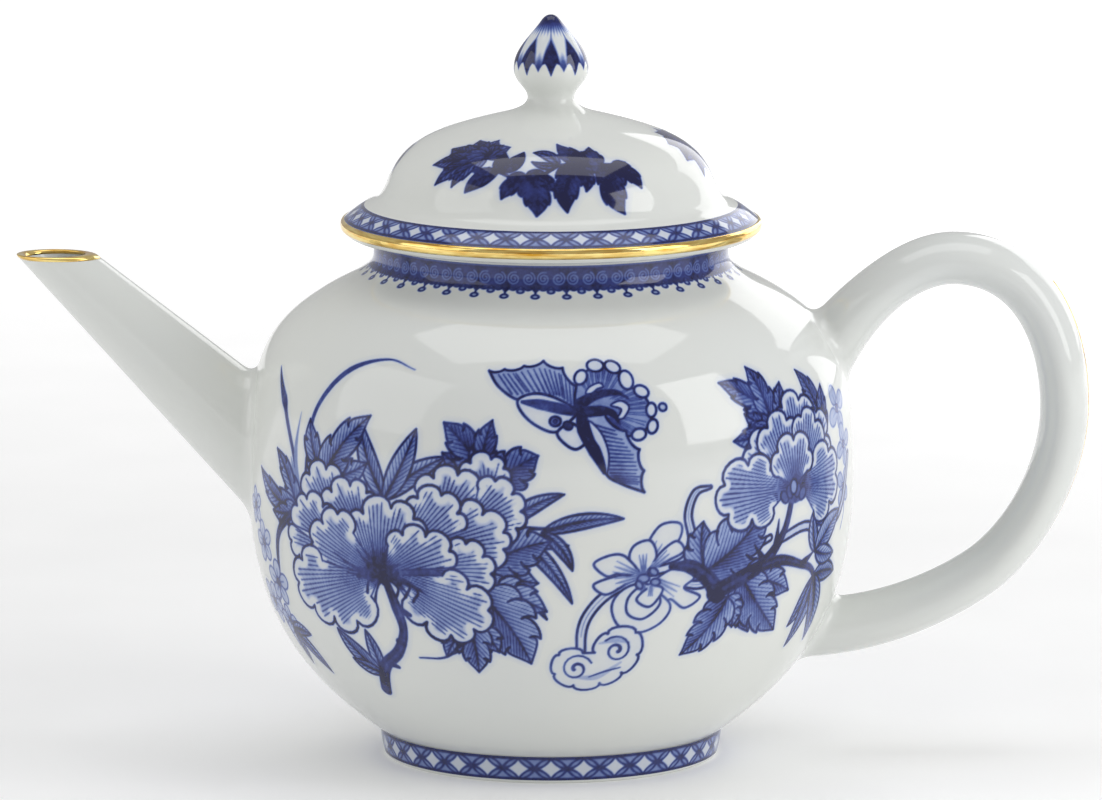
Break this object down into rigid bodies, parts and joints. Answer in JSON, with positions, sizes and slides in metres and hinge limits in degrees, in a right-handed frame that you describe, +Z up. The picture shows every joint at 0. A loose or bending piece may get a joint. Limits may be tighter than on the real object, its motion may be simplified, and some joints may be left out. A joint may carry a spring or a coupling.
{
  "type": "teapot",
  "caption": "Round porcelain teapot with a straight spout, loop handle, domed lid with a bud knob, blue floral painting and gilt edges.",
  "frame": {"origin": "on the pot's axis, at the bottom of the foot ring", "axes": "+Z up along the pot's axis; the spout points along -X and the handle along +X; the painted front faces -Y"},
  "size_m": [0.256, 0.1444, 0.1777],
  "materials": {
    "porcelain": "clear high-gloss glaze over cool white porcelain",
    "cobalt_band": "cobalt blue painting under the same clear glaze",
    "gilding": "bright burnished gold, fired on"
  },
  "bodies": {
    "pot": {"pot_body": "porcelain", "neck_collar": "cobalt_band", "foot_ring": "cobalt_band", "spout": "porcelain", "spout_lip_gilding": "gilding", "handle": "porcelain", "handle_gilding": "gilding"},
    "lid": {"lid_dome": "porcelain", "lid_flange": "porcelain", "lid_knob": "porcelain", "lid_rim_gilding": "gilding"}
  },
  "joints": [
    {"name": "lid_lift", "type": "slide", "parent": "pot", "child": "lid", "axis": [0, 0, 1], "range_m": [0, 0.06]}
  ]
}
